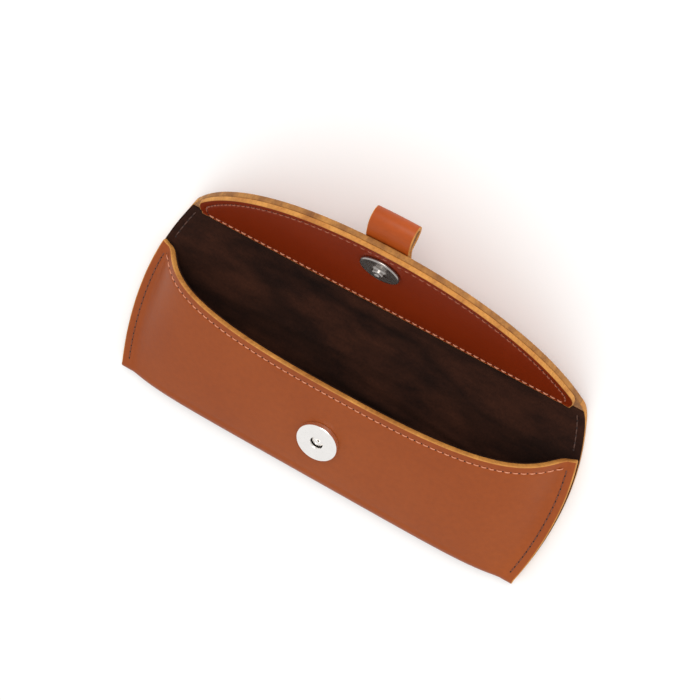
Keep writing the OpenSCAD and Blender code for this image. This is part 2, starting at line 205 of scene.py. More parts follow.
def thick_sheet(name, outer, inner, materials, rim, flat, steps=8, butts=()):
    """A closed sheet of leather between two grids, with a rounded cut edge that stands out by rim.

    materials are for the outer face, the inner face and the cut edge. butts lists the border rows,
    0 or -1, that meet the next piece and so are cut square.
    """
    rows, cols = outer.shape[:2]
    count = rows * cols
    ring = border(rows, cols)
    points = [outer.reshape(-1, 3), inner.reshape(-1, 3)]
    flat_points = [flat.reshape(-1, 3)] * 2
    j = np.array([r[0] for r in ring])
    i = np.array([r[1] for r in ring])
    jn = np.clip(j, 1, rows - 2)
    inn = np.clip(i, 1, cols - 2)
    centre = (outer[j, i] + inner[j, i]) / 2
    lift = (outer[j, i] - inner[j, i]) / 2
    out = centre - (outer[jn, inn] + inner[jn, inn]) / 2
    axis = lift / np.maximum(np.linalg.norm(lift, axis=1, keepdims=True), 1e-9)
    out = out - (out * axis).sum(1, keepdims=True) * axis
    tangent = np.roll(centre, -1, 0) - np.roll(centre, 1, 0)
    tangent = tangent / np.maximum(np.linalg.norm(tangent, axis=1, keepdims=True), 1e-9)
    square = np.cross(tangent, axis)
    square = square * np.sign((square * out).sum(1, keepdims=True))
    square = square / np.maximum(np.linalg.norm(square, axis=1, keepdims=True), 1e-9)
    stands_out = np.full((len(ring), 1), rim)
    ring_index = {cell: k for k, cell in enumerate(ring)}
    for butt in butts:
        row, beside = (0, 1) if butt == 0 else (rows - 1, rows - 2)
        for k in np.flatnonzero(j == row):
            side = ring_index.get((beside, int(i[k])))
            if side is None:
                stands_out[k] = 0
            else:
                square[k] = square[side]
    for k in range(1, steps):
        a = np.pi * k / steps
        c, s = np.cos(a), np.sin(a)
        points.append(centre + np.sign(c) * abs(c) ** 0.6 * lift + stands_out * s**0.6 * square)
        flat_points.append(flat[j, i] + np.array([0, 0, c * LEATHER_T / 2]))
    a = (np.arange(rows - 1)[:, None] * cols + np.arange(cols - 1)).ravel()
    quads = np.stack([a, a + 1, a + cols + 1, a + cols], 1)
    faces = quads.tolist() + (quads[:, ::-1] + count).tolist()
    kind = [0] * len(quads) + [1] * len(quads)
    around = len(ring)
    loops = [j * cols + i]
    loops += [2 * count + k * around + np.arange(around) for k in range(steps - 1)]
    loops.append(count + j * cols + i)
    for low, high in zip(loops[:-1], loops[1:]):
        nxt_low, nxt_high = np.roll(low, -1), np.roll(high, -1)
        faces += np.stack([nxt_low, low, high, nxt_high], 1).tolist()
        kind += [2] * around
    obj = new_mesh(name, np.vstack(points), faces, materials, kind, np.vstack(flat_points))
    fix_winding(obj)
    return obj


def fix_winding(obj):
    """Turns a closed mesh right side out."""
    mesh = obj.data
    mesh.calc_loop_triangles()
    co = np.array([v.co for v in mesh.vertices])
    tri = np.array([t.vertices[:] for t in mesh.loop_triangles])
    a, b, c = co[tri[:, 0]], co[tri[:, 1]], co[tri[:, 2]]
    if (a * np.cross(b, c)).sum() < 0:
        mesh.flip_normals()


def lathe(name, profile, materials, seat, around=96):
    """A turned piece from (radius, height) points; seat carries it to its place."""
    profile = np.asarray(profile, float)
    angle = np.linspace(0, 2 * np.pi, around, endpoint=False)
    rings = [np.stack([r * np.cos(angle), r * np.sin(angle), np.full(around, h)], 1) for r, h in profile]
    points = np.vstack(rings)
    faces = []
    for k in range(len(profile)):
        low = k * around + np.arange(around)
        high = ((k + 1) % len(profile)) * around + np.arange(around)
        faces += np.stack([low, np.roll(low, -1), np.roll(high, -1), high], 1).tolist()
    rotation = np.array(seat.to_3x3())
    origin = np.array(seat.translation)
    obj = new_mesh(name, points @ rotation.T + origin, faces, materials)
    fix_winding(obj)
    return obj


def arc(centre, radius, start, end, count):
    """Points of a section's arc, angles in degrees."""
    angles = np.radians(np.linspace(start, end, count))
    return [(centre[0] + radius * np.cos(a), centre[1] + radius * np.sin(a)) for a in angles]


# ---- materials ----


def node_material(name):
    """A new material, with its node tree and its shader."""
    material = bpy.data.materials.new(name)
    material.use_nodes = True
    tree = material.node_tree
    return material, tree, tree.nodes["Principled BSDF"]


def coordinates(tree, attribute):
    """Flat leather coordinates where a piece has them, so that grain stays put as it folds."""
    if attribute:
        node = tree.nodes.new("ShaderNodeAttribute")
        node.attribute_name = "flat"
        return node.outputs["Vector"]
    return tree.nodes.new("ShaderNodeTexCoord").outputs["Object"]


def noise(tree, where, scale, detail, stretch=None, rough=0.55):
    if stretch:
        mapping = tree.nodes.new("ShaderNodeMapping")
        mapping.inputs["Scale"].default_value = stretch
        tree.links.new(where, mapping.inputs["Vector"])
        where = mapping.outputs["Vector"]
    node = tree.nodes.new("ShaderNodeTexNoise")
    node.inputs["Scale"].default_value = scale
    node.inputs["Detail"].default_value = detail
    node.inputs["Roughness"].default_value = rough
    tree.links.new(where, node.inputs["Vector"])
    return node.outputs["Fac"]


def ramp(tree, value, stops):
    """Turns a value into a colour by (position, colour) stops."""
    node = tree.nodes.new("ShaderNodeValToRGB")
    while len(node.color_ramp.elements) < len(stops):
        node.color_ramp.elements.new(0.5)
    for element, (place_at, colour) in zip(node.color_ramp.elements, stops):
        element.position = place_at
        element.color = (*colour, 1)
    tree.links.new(value, node.inputs["Fac"])
    return node.outputs["Color"]


def multiply(tree, a, b, share):
    """Darkens colour a by colour b, as far as share says."""
    node = tree.nodes.new("ShaderNodeMix")
    node.data_type = "RGBA"
    node.blend_type = "MULTIPLY"
    node.inputs["Factor"].default_value = share
    tree.links.new(a, node.inputs["A"])
    tree.links.new(b, node.inputs["B"])
    return node.outputs["Result"]


def scaled(tree, value, low, high):
    """Stretches a value from 0 to 1 over low to high."""
    node = tree.nodes.new("ShaderNodeMapRange")
    node.inputs["To Min"].default_value = low
    node.inputs["To Max"].default_value = high
    tree.links.new(value, node.inputs["Value"])
    return node.outputs["Result"]


def bump(tree, shader, layers):
    """Stacks (height, strength, depth in metres) bumps on a shader."""
    previous = None
    for height, strength, depth in layers:
        node = tree.nodes.new("ShaderNodeBump")
        node.inputs["Strength"].default_value = strength
        node.inputs["Distance"].default_value = depth
        tree.links.new(height, node.inputs["Height"])
        if previous is not None:
            tree.links.new(previous, node.inputs["Normal"])
        previous = node.outputs["Normal"]
    tree.links.new(previous, shader.inputs["Normal"])


def linear(*srgb):
    """0 to 255 screen colour to linear light."""
    c = np.array(srgb) / 255
    return tuple(np.where(c <= 0.04045, c / 12.92, ((c + 0.055) / 1.055) ** 2.4))


def leather(name, dark, middle, light, shine=0.22):
    """Smooth finished leather: fine pebbled grain, pores and slow changes of colour."""
    material, tree, shader = node_material(name)
    where = coordinates(tree, True)
    cloudy = noise(tree, where, 16, 4)
    colour = ramp(tree, cloudy, [(0.2, dark), (0.5, middle), (0.85, light)])
    mottle = noise(tree, where, 420, 5)
    speckle = ramp(tree, mottle, [(0.3, (0.80,) * 3), (0.7, (1.0,) * 3)])
    tree.links.new(multiply(tree, colour, speckle, 0.55), shader.inputs["Base Color"])
    cells = tree.nodes.new("ShaderNodeTexVoronoi")
    cells.inputs["Scale"].default_value = 1150
    tree.links.new(where, cells.inputs["Vector"])
    rough = scaled(tree, mottle, 0.35, 0.50)
    tree.links.new(rough, shader.inputs["Roughness"])
    shader.inputs["Specular IOR Level"].default_value = shine
    shader.inputs["Coat Weight"].default_value = 0.15 * shine
    shader.inputs["Coat Roughness"].default_value = 0.30
    bump(tree, shader, [
        (cells.outputs["Distance"], 0.16, 0.00012),
        (mottle, 0.14, 0.0001),
        (noise(tree, where, 70, 3), 0.10, 0.0005),
    ])
    return material


def cut_edge(name, dark, light, attribute=True):
    """Raw cut leather: fibres over slow blotches."""
    material, tree, shader = node_material(name)
    where = coordinates(tree, attribute)
    fibre = noise(tree, where, 900, 6, rough=0.7)
    blotch = noise(tree, where, 130, 3)
    base = ramp(tree, blotch, [(0.3, dark), (0.7, light)])
    fleck = ramp(tree, fibre, [(0.32, (0.55,) * 3), (0.5, (0.90,) * 3), (0.68, (1.12, 1.15, 1.2))])
    tree.links.new(multiply(tree, base, fleck, 0.7), shader.inputs["Base Color"])
    shader.inputs["Roughness"].default_value = 0.78
    bump(tree, shader, [(fibre, 0.45, 0.00025)])
    return material


def suede(name, dark, light):
    """Napped suede: mottled where the nap lies different ways, with thin lines of painted crease shade and a
    soft sheen.
    """
    material, tree, shader = node_material(name)
    where = coordinates(tree, True)
    nap = noise(tree, where, 850, 8, rough=0.75)
    brushed = noise(tree, where, 42, 5, stretch=(0.7, 1.5, 1.0), rough=0.65)
    base = ramp(tree, brushed, [(0.36, dark), (0.64, light)])
    # Thin dark lines along a stretched noise: painted shade of small creases in the suede
    wavy = noise(tree, where, 17, 2, stretch=(0.45, 1.7, 1.0), rough=0.4)
    folds = ramp(tree, wavy, [(0.44, (1.0,) * 3), (0.485, (0.42,) * 3), (0.53, (1.0,) * 3)])
    base = multiply(tree, base, folds, 0.8)
    fleck = ramp(tree, nap, [(0.32, (0.5,) * 3), (0.68, (1.0,) * 3)])
    tree.links.new(multiply(tree, base, fleck, 0.8), shader.inputs["Base Color"])
    shader.inputs["Roughness"].default_value = 0.95
    shader.inputs["Specular IOR Level"].default_value = 0.15
    shader.inputs["Sheen Weight"].default_value = 0.08
    shader.inputs["Sheen Roughness"].default_value = 0.5
    shader.inputs["Sheen Tint"].default_value = (*linear(150, 105, 80), 1)
    bump(tree, shader, [(nap, 0.55, 0.0003), (brushed, 0.3, 0.0006)])
    return material


def metal(name, colour, rough):
    """Polished plate with faint fine scratches."""
    material, tree, shader = node_material(name)
    where = coordinates(tree, False)
    wear = noise(tree, where, 300, 5)
    shade = ramp(tree, wear, [(0.3, tuple(0.94 * c for c in colour)), (0.7, colour)])
    tree.links.new(shade, shader.inputs["Base Color"])
    shader.inputs["Metallic"].default_value = 1.0
    tree.links.new(scaled(tree, wear, rough - 0.03, rough + 0.06), shader.inputs["Roughness"])
    bump(tree, shader, [(noise(tree, where, 1500, 2), 0.04, 0.00004)])
    return material


def thread_material(name, dark, light):
    """Waxed twisted thread."""
    material, tree, shader = node_material(name)
    where = coordinates(tree, False)
    strand = noise(tree, where, 1800, 3)
    tree.links.new(ramp(tree, strand, [(0.3, dark), (0.7, light)]), shader.inputs["Base Color"])
    shader.inputs["Roughness"].default_value = 0.6
    bump(tree, shader, [(strand, 0.4, 0.0001)])
    return material


HIDE = leather("outer_leather", linear(138, 62, 18), linear(147, 69, 22), linear(155, 76, 28))
FACE = leather("facing_leather", linear(114, 33, 5), linear(122, 37, 6), linear(130, 42, 8), shine=0.08)
TAB = leather("tab_leather", linear(156, 66, 16), linear(168, 74, 20), linear(176, 82, 26))
HIDE_EDGE = cut_edge("hide_cut_edge", linear(176, 110, 42), linear(212, 148, 68))
BACK_EDGE = cut_edge("back_cut_edge", linear(128, 78, 32), linear(184, 126, 58))
FLESH = cut_edge("flesh_side", linear(150, 100, 60), linear(178, 128, 84))
SUEDE = suede("suede", linear(30, 13, 7), linear(60, 31, 19))
THREAD = thread_material("thread", linear(186, 112, 80), linear(222, 152, 118))
EDGE_THREAD = thread_material("edge_thread", linear(128, 62, 38), linear(162, 88, 60))
BRIDGE_THREAD = thread_material("bridge_thread_dark", linear(52, 27, 16), linear(80, 44, 28))
SEAM_THREAD = thread_material("seam_thread", linear(92, 44, 24), linear(128, 68, 40))
# Near-black discs at the stitch holes: painted shade inside the holes
HOLE_SHADE = cut_edge("stitch_hole_painted_shade", linear(24, 9, 4), linear(40, 17, 8), attribute=False)
NICKEL = metal("nickel", (0.97, 0.94, 0.91), 0.20)
# Darker copy of the nickel for the stud: painted shade and painted reflection of the dark lining on the
# polished disc
STUD_NICKEL_PAINTED_SHADE = metal("stud_nickel_painted_shade", (0.40, 0.37, 0.35), 0.26)
STEEL = metal("steel", (0.55, 0.55, 0.55), 0.35)
# Dark plate: the magnet's own colour, and painted shade on the floor of the socket's hole
MAGNET_AND_HOLE_SHADE = metal("magnet", (0.10, 0.10, 0.11), 0.45)

# ---- the camera, at the photograph's view ----
# Directions of the camera's right, up and back in the shared frame, and its place in metres
CAMERA_AXES = (
    (0.865976, 0.350009, -0.357183),
    (-0.467819, 0.819393, -0.331271),
    (0.176725, 0.453970, 0.873316),
)
CAMERA_PLACE = (0.083159, 0.250470, 0.438687)
LENS = 66.320
camera_data = bpy.data.cameras.new("camera")
camera_data.lens = LENS
camera_data.sensor_width = 36.0
camera_data.clip_start, camera_data.clip_end = 0.01, 20.0
camera = bpy.data.objects.new("camera", camera_data)
bpy.context.scene.collection.objects.link(camera)
camera.matrix_world = Matrix.Translation(CAMERA_PLACE) @ Matrix(CAMERA_AXES).transposed().to_4x4()
bpy.context.scene.camera = camera


# ---- outer leather, one hide on the real case, here in three pieces ----


def front_leather():
    """The front and the bottom fold. They are sewn to the back, so they do not bend with it."""
    cols, groove_reach = 230, 0.985
    u = spaced(cols)
    edge_in = 1 - HIDE_RIM / CASE_HALF
    down = (1 - np.cos(np.linspace(0, np.pi / 2, 70)))[:, None]
    y = (mouth_line(u) - HIDE_RIM) * (1 - down)
    x = u * (half(y) - FRONT_TRIM) * edge_in
    grooves = dent(mouth_line(u) - y) * (np.abs(u) < groove_reach)
    grooves = np.maximum(grooves, dent(half(y) - FRONT_TRIM - np.abs(x)))
    front = np.stack([x, y - WIDEST_Y, front_height(x, y)], -1)
    front_flat = np.stack([x, -y - FOLD_RUN, 0 * y], -1)
    turn = np.radians(np.linspace(90, -90, 27)[1:])[:, None]
    side = u * (half(0) - FRONT_TRIM) * edge_in
    tall = front_height(side, 0 * side)
    fold = np.stack([
        side + 0 * turn, -tall / 2 * np.cos(turn) - WIDEST_Y, tall / 2 * (1 + np.sin(turn))
    ], -1)
    round_fold = -FOLD_RUN * (turn / np.pi + 0.5)
    fold_flat = np.stack([side + 0 * turn, round_fold + 0 * side, 0 * side + 0 * turn], -1)
    outer = np.concatenate([front, fold])
    flat = np.concatenate([front_flat, fold_flat])
    n = normals(outer)
    n *= np.sign(n[10, cols // 2, 2])
    depth = np.concatenate([grooves, np.zeros(fold.shape[:2])])
    obj = thick_sheet(
        "outer_leather_front", outer - depth[..., None] * n, outer - LEATHER_T * n,
        [HIDE, FLESH, HIDE_EDGE], HIDE_RIM, flat, butts=(-1,),
    )
    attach(obj, "pouch")
    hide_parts("front_panel")


def fine_at_fold(start, end):
    """Leather lengths from start to end, closest together where the bridge folds."""
    low, high = FOLD_ZONE[0] - 1, FOLD_ZONE[1] + 1
    before = np.linspace(start, low, 75)[:-1]
    within = np.linspace(low, high, 46)[:-1]
    after = np.linspace(high, end, 32)
    return np.concatenate([before, within, after])[:, None]


def back_leather():
    """The back and most of the bridge, in one piece across the place where the bridge folds."""
    u = spaced(230)
    s = fine_at_fold(0, CUT_S)
    trim = FRONT_TRIM * np.clip(1 - s / 6, 0, 1)
    x = u * (half(s) - trim) * (1 - HIDE_RIM / CASE_HALF)
    flat = np.stack([x, s + 0 * u, 0 * x], -1)
    obj = thick_sheet(
        "outer_leather_back", place(x, s, 0), place(x, s, LEATHER_T - GAP),
        [HIDE, FLESH, HIDE_EDGE], HIDE_RIM, flat, butts=(0, -1),
    )
    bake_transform(obj)
    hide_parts("back_panel")


def dome(base_s, width, rows, cols, rim):
    """Grid of (x, s) over the rounded end of the leather past base_s, with even four-sided faces.

    The base is straight, and the other three sides of the grid share out the curved edge.
    """
    t0 = np.arcsin(((base_s - WIDEST_Y) / (TIP_S - WIDEST_Y)) ** (OUTLINE_N / 2))
    side_share = 0.42

    def edge(angle):
        s = WIDEST_Y + (TIP_S - WIDEST_Y) * np.sin(angle) ** (2 / OUTLINE_N)
        x = width(np.minimum(s, TIP_S - TIP_GAP)) * (np.cos(angle) > TIP_GAP)
        normal = np.stack([np.cos(angle), np.sin(angle)], -1)
        return np.stack([x, s], -1) - rim * normal

    corner = t0 + side_share * (np.pi / 2 - t0)
    q = np.linspace(0, 1, rows + 1)
    p = (spaced(cols) + 1) / 2
    right = edge(t0 + (corner - t0) * q)
    right[0, 1] = base_s
    left = right * np.array([-1, 1])
    angle = corner + (np.pi / 2 - corner) * (1 - np.abs(2 * p - 1))
    top = edge(angle) * np.stack([np.sign(2 * p - 1), np.ones(cols + 1)], -1)
    top[0], top[-1] = left[-1], right[-1]
    base = np.stack([left[0, 0] + (right[0, 0] - left[0, 0]) * p, np.full(cols + 1, base_s)], -1)
    pp, qq = p[None, :, None], q[:, None, None]
    grid = (1 - qq) * base[None] + qq * top[None] + (1 - pp) * left[:, None] + pp * right[:, None]
    corners = (1 - pp) * (1 - qq) * left[0] + pp * (1 - qq) * right[0]
    corners = corners + (1 - pp) * qq * left[-1] + pp * qq * right[-1]
    return grid - corners


def edge_distance(grid, width):
    """Rough distance of each (x, s) point from the curved edge."""
    x, s = np.abs(grid[..., 0]), grid[..., 1]
    slope = width(s - 0.5) - width(np.minimum(s + 0.5, TIP_S - 1e-4))
    sideways = (width(s) - x) / np.sqrt(1 + slope**2)
    return np.maximum(sideways, 0)


def flap_leather():
    """The rest of the bridge and the flap."""
    grid = dome(CUT_S, half, 70, 150, HIDE_RIM)
    x, s = grid[..., 0], grid[..., 1]
    flat = np.stack([x, s, 0 * x], -1)
    obj = thick_sheet(
        "outer_leather_flap", place(x, s, 0), place(x, s, LEATHER_T - GAP),
        [HIDE, FLESH, BACK_EDGE], HIDE_RIM, flat, butts=(0,),
    )
    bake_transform(obj)
    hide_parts("bridge_panel", "flap_panel")


def facing_piece():
    """The leather facing on the flap's inside."""
    grid = dome(FACING_S + FACING_RIM, facing_half, 90, 190, FACING_RIM)
    x, s = grid[..., 0], grid[..., 1]
    depth = np.maximum(dent(edge_distance(grid, facing_half)), dent(s - FACING_S + MARGIN / 2))
    outer = place(x, s, FACING_Z - depth)
    inner = place(x, s, LEATHER_T + GAP)
    flat = np.stack([x, s + FACING_FLAT, 0 * x], -1)
    obj = thick_sheet("flap_facing_piece", outer, inner, [FACE, FLESH, HIDE_EDGE], FACING_RIM, flat)
    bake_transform(obj)
    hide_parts("facing_base", "flap_facing")


# ---- suede ----

# The suede's creases: centre at x = 0, slope, half width, height and place along the case
CREASES = (
    (40.0, -0.08, 2.0, 0.80, 12.0),
    (52.0, 0.05, 1.7, 0.75, -22.0),
    (62.0, -0.07, 2.1, 0.85, 34.0),
    (68.0, 0.08, 1.8, 0.60, -48.0),
    (47.0, -0.12, 1.6, 0.65, 52.0),
)


def creases(x, s):
    """Soft creases that run along the pouch where the lining is a little loose."""
    length, bare_edge, fade = 48, 9, 12
    height = 0 * x
    for centre, drop, spread, size, reach in CREASES:
        line = s - centre - drop * x
        height = height + size * np.exp(-((line / spread) ** 2)) * np.exp(-(((x - reach) / length) ** 2))
    return height * np.clip((half(s) - np.abs(x) - bare_edge) / fade, 0, 1)


def back_suede():
    """The lining of the back and the bridge, up to the facing."""
    start_s, end_gap, held_in, highest = 1.5, 0.3, 0.1, 0.9
    u = spaced(200)
    s = fine_at_fold(start_s, FACING_S - end_gap)
    x = u * (half(s) - held_in - SUEDE_RIM)
    seam = dent(half(s) - np.abs(x)) * (s > SEAM_Y)
    lift = np.clip(creases(x, s), 0, highest) * np.clip((FACING_S - 4 - s) / 5, 0, 1)
    outer = place(x, s, INNER_Z + lift - seam)
    inner = place(x, s, LEATHER_T + GAP)
    flat = np.stack([x, s + 0 * u, 0 * x], -1)
    obj = thick_sheet("suede_back", outer, inner, [SUEDE] * 3, SUEDE_RIM, flat, steps=5)
    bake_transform(obj)
    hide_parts("back_lining", "bridge_lining")


def front_suede():
    """The lining of the front, held in from the hide's edges."""
    cols, held_in, start_y = 180, 0.15, 0.4
    u = spaced(cols)
    down = (1 - np.cos(np.linspace(0, np.pi / 2, 60)))[:, None]
    y = (mouth_line(u) - SUEDE_RIM - held_in) * (1 - down) + start_y * down
    x = u * (half(y) - FRONT_TRIM - held_in - SUEDE_RIM)
    surface = np.stack([x, y - WIDEST_Y, front_height(x, y)], -1)
    n = normals(surface)
    n *= np.sign(n[10, cols // 2, 2])
    outer = surface - (LEATHER_T + WIDE_GAP) * n
    inner = surface - (INNER_Z - WIDE_GAP) * n
    flat = np.stack([x, y + FRONT_SUEDE_FLAT, 0 * x], -1)
    obj = thick_sheet("suede_front", outer, inner, [SUEDE] * 3, SUEDE_RIM, flat, steps=5)
    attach(obj, "pouch")
    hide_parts("front_lining")


# ---- stitches ----


STITCH_SIDES = 8
STITCH_STEPS = 8
# Rings of the dark disc at a stitch's hole, painted shade of the hole, as (radius, height)
HOLE_RINGS = ((0.54, -0.12), (0.48, 0.03), (0.24, 0.045))
RING = np.linspace(0, 2 * np.pi, STITCH_SIDES, endpoint=False)


def tube_faces(base, steps):
    """Sides of a tube of rings whose first point is base, without its ends."""
    faces = []
    for k in range(steps):
        low = base + k * STITCH_SIDES
        high = low + STITCH_SIDES
        for i in range(STITCH_SIDES):
            j = (i + 1) % STITCH_SIDES
            faces.append([low + i, low + j, high + j, high + i])
    return faces


def end_face(base, turned=False):
    face = [base + i for i in range(STITCH_SIDES)]
    return face[::-1] if turned else face


def stitch_points(p, q, n, sink, rise, width):
    """One thread's rings: it comes up out of its hole at p and goes down near q."""
    along = q - p
    start = p + 0.12 * along
    along = 0.80 * along
    side = np.cross(n, along)
    side /= np.linalg.norm(side)
    points = []
    for k in range(STITCH_STEPS + 1):
        t = k / STITCH_STEPS
        arch = np.sin(np.pi * t) ** 0.5
        centre = start + t * along + n * (-sink + (sink + rise) * arch)
        taper = width * (0.7 + 0.3 * arch)
        points += [centre + taper * (np.cos(r) * side + 0.8 * np.sin(r) * n) for r in RING]
    return points


def hole_points(p, q, n, hole):
    """Rings of the dark disc of painted shade round the hole at p."""
    centre = p - 0.02 * (q - p)
    along = (q - p) / np.linalg.norm(q - p)
    side = np.cross(n, along)
    points = []
    for radius, height in HOLE_RINGS:
        spread = hole * radius
        points += [centre + spread * (np.cos(r) * along + np.sin(r) * side) + height * n for r in RING]
    return points


def stitches(name, points, up, bodies, nodes, material=THREAD, rise=0.20, width=0.30, hole=1.0):
    """A row of stitches between successive points, each with a dark disc of painted shade at its hole."""
    sink = 0.30
    verts, faces = [], []
    spans = list(zip(points[:-1], points[1:], up[:-1]))
    for p, q, n in spans:
        base = len(verts)
        verts += stitch_points(p, q, n, sink, rise, width)
        faces += tube_faces(base, STITCH_STEPS)
        faces += [end_face(base, True), end_face(base + STITCH_STEPS * STITCH_SIDES)]
    kind = [0] * len(faces)
    for p, q, n in spans:
        base = len(verts)
        verts += hole_points(p, q, n, hole)
        steps = len(HOLE_RINGS) - 1
        faces += tube_faces(base, steps)
        faces += [end_face(base + steps * STITCH_SIDES), end_face(base, True)]
    kind += [1] * (len(faces) - len(kind))
    obj = new_mesh(name, np.array(verts), faces, [material, HOLE_SHADE], kind)
    fix_winding(obj)
    if len(bodies) == 1:
        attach(obj, bodies[0])
    elif bodies == ("bridge", "flap"):
        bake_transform(obj)
    else:
        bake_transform(obj)
    if nodes:
        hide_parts(*nodes)


def leather_up(s, way=1.0):
    """Direction out of the leather's inner (way 1) or outer (way -1) face."""
    step = place(0, np.asarray(s) + 0.01, 0) - place(0, np.asarray(s) - 0.01, 0)
    n = np.stack([0 * step[..., 1], -step[..., 2], step[..., 1]], -1)
    return way * n / np.linalg.norm(n, axis=-1, keepdims=True)


def front_normal(x, y):
    """Direction out of the front's outer face."""
    d = 0.25
    n = np.stack([
        front_height(x - d, y) - front_height(x + d, y),
        front_height(x, y - d) - front_height(x, y + d),
        0 * x + 2 * d,
    ], -1)
    return n / np.linalg.norm(n, axis=-1, keepdims=True)


def seam_rows():
    """Both side seams, on the front and on the back."""
    count = int((SEAM_Y - 2 * MARGIN) // PITCH)
    y = MARGIN + np.arange(count + 1) * PITCH
    for side, label in ((-1, "left"), (1, "right")):
        x = side * (half(y) - FRONT_TRIM - MARGIN)
        n = front_normal(x, y)
        top = np.stack([x, y - WIDEST_Y, front_height(x, y)], -1) - GROOVE * n
        stitches(
            f"{label}_seam_stitches", top, n,
            ("pouch",), [f"{label}_seam_thread"], SEAM_THREAD, rise=0.10,
        )
        stitches(
            f"{label}_seam_stitches_back", place(x, y, 0), leather_up(y, -1.0),
            ("pouch",), [], SEAM_THREAD, rise=0.05,
        )


def mouth_row():
    count, reach = 62, 0.955
    u = reach * (2 * np.arange(count + 1) / count - 1)
    y = mouth_line(u) - MARGIN
    x = u * (half(y) - FRONT_TRIM)
    n = front_normal(x, y)
    top = np.stack([x, y - WIDEST_Y, front_height(x, y)], -1) - GROOVE * n
    stitches("mouth_stitches", top, n, ("pouch",), ["mouth_thread"], width=0.24, hole=0.62)


def facing_row():
    """The row along the facing's straight edge, on both faces."""
    s = FACING_S + MARGIN / 2
    reach = float(facing_half(s)) - MARGIN
    count = int(2 * reach // PITCH)
    x = -reach + 2 * reach * np.arange(count + 1) / count
    ss = np.full(count + 1, s)
    top = place(x, ss, FACING_Z - GROOVE)
    stitches("facing_edge_stitches", top, leather_up(ss), ("bridge",), ["facing_edge_thread"], rise=0.26)
    stitches(
        "facing_edge_stitches_back", place(x, ss, 0), leather_up(ss, -1.0), ("bridge",), [], rise=0.12
    )


def flap_path(width, start_s, inset):
    """Points a pitch apart along the curved edge of the flap, set in from it, from left to right."""
    start = np.arcsin(((start_s - WIDEST_Y) / (TIP_S - WIDEST_Y)) ** (OUTLINE_N / 2))
    a = np.linspace(start, np.pi / 2, 1500)
    s = WIDEST_Y + (TIP_S - WIDEST_Y) * np.sin(a) ** (2 / OUTLINE_N)
    x = width(np.minimum(s, TIP_S - TIP_GAP)) * (np.cos(a) > TIP_GAP)
    t = np.gradient(np.stack([x, s], -1), axis=0)
    t = t / np.maximum(np.linalg.norm(t, axis=1, keepdims=True), 1e-9)
    x, s = x - inset * t[:, 1], s + inset * t[:, 0]
    keep = x > 0
    x, s = np.append(x[keep], 0), np.append(s[keep], TIP_S - inset)
    x, s = np.concatenate([-x, x[::-1][1:]]), np.concatenate([s, s[::-1][1:]])
    length = np.append(0, np.cumsum(np.hypot(np.diff(x), np.diff(s))))
    at = np.linspace(0, length[-1], int(length[-1] / PITCH) + 1)
    return np.interp(at, length, x), np.interp(at, length, s)


def flap_rows():
    """The row round the flap, on both faces."""
    x, s = flap_path(facing_half, FACING_S + MARGIN, MARGIN)
    top = place(x, s, FACING_Z - GROOVE)
    bodies = ("bridge", "flap")
    stitches("flap_edge_stitches", top, leather_up(s), bodies, ["flap_edge_thread"], EDGE_THREAD)
    low = place(x, s, 0)
    stitches("flap_edge_stitches_back", low, leather_up(s, -1.0), bodies, [], EDGE_THREAD, rise=0.12)


def bridge_rows():
    """The short rows over the suede. One CAD node holds both, so the left row replaces it."""
    count = int((FACING_S - BRIDGE_S - 2) // PITCH)
    s = BRIDGE_S + 1 + np.arange(count + 1) * PITCH
    for side, label, nodes in ((-1, "left", ["bridge_thread"]), (1, "right", [])):
        x = side * (half(s) - MARGIN)
        top = place(x, s, INNER_Z - GROOVE)
        stitches(f"{label}_bridge_stitches", top, leather_up(s), ("pouch", "bridge"), nodes, BRIDGE_THREAD)


# ---- snap ----


def seat_on_front():
    """The socket's place on the front, tilted with its slope."""
    slope = np.arctan((crown(SOCKET_Y + 1) - crown(SOCKET_Y - 1)) / 2)
    where = Matrix.Translation((0, SOCKET_Y - WIDEST_Y, float(crown(SOCKET_Y)) + GAP))
    return where @ Matrix.Rotation(float(slope), 4, "X")


def seat_on_facing():
    """The stud's place on the facing."""
    point = place(0, STUD_S, FACING_Z)
    return Matrix.Translation(Vector(point.tolist())) @ Matrix.Rotation(np.radians(BEND_DEG), 4, "X")


# Radius of the point in the middle of a turned piece, where its rings would otherwise meet
AXIS = 0.02


def snap_socket():
    """The socket's plated housing, with a bright plug and, on the floor of its hole, a dark disc of painted
    shade.
    """
    seat = seat_on_front()
    r, h, hole = SOCKET_D / 2, SOCKET_H, SOCKET_HOLE / 2
    profile = [(r - 0.35, 0.0), (r - 0.1, 0.0), (r - 0.02, 0.12), (r, 0.4), (r, h - 0.6)]
    profile += arc((r - 0.6, h - 0.6), 0.6, 8, 82, 8)
    profile += [(r - 0.9, h - 0.005), (r - 2.0, h - 0.03), (hole + 1.0, h - 0.06), (hole + 0.35, h - 0.08)]
    profile += arc((hole + 0.35, h - 0.43), 0.35, 95, 175, 6)
    profile += [(hole, 0.7), (hole + 0.25, 0.7), (hole + 0.25, h - 0.6), (r - 0.4, h - 0.7), (r - 0.4, 0.05)]
    cap = lathe("socket_cap_turned", profile, [NICKEL], seat)
    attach(cap, "pouch")
    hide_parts("socket_cap")
    plug = hole - 0.22
    head = [(AXIS, 0.35), (plug, 0.35), (plug, PLUG_H - 0.15), (plug - 0.15, PLUG_H), (AXIS, PLUG_H)]
    rivet = lathe("socket_rivet", head, [NICKEL], seat, around=48)
    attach(rivet, "pouch")
    # Dark disc round the plug's foot: painted shade in the gap of the hole
    hole_shade_disc = [(AXIS, 0.10), (hole + 0.2, 0.10), (hole + 0.2, 0.40), (1.0, 0.44), (AXIS, 0.44)]
    well = lathe("socket_well_painted_shade", hole_shade_disc, [MAGNET_AND_HOLE_SHADE], seat, around=48)
    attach(well, "pouch")


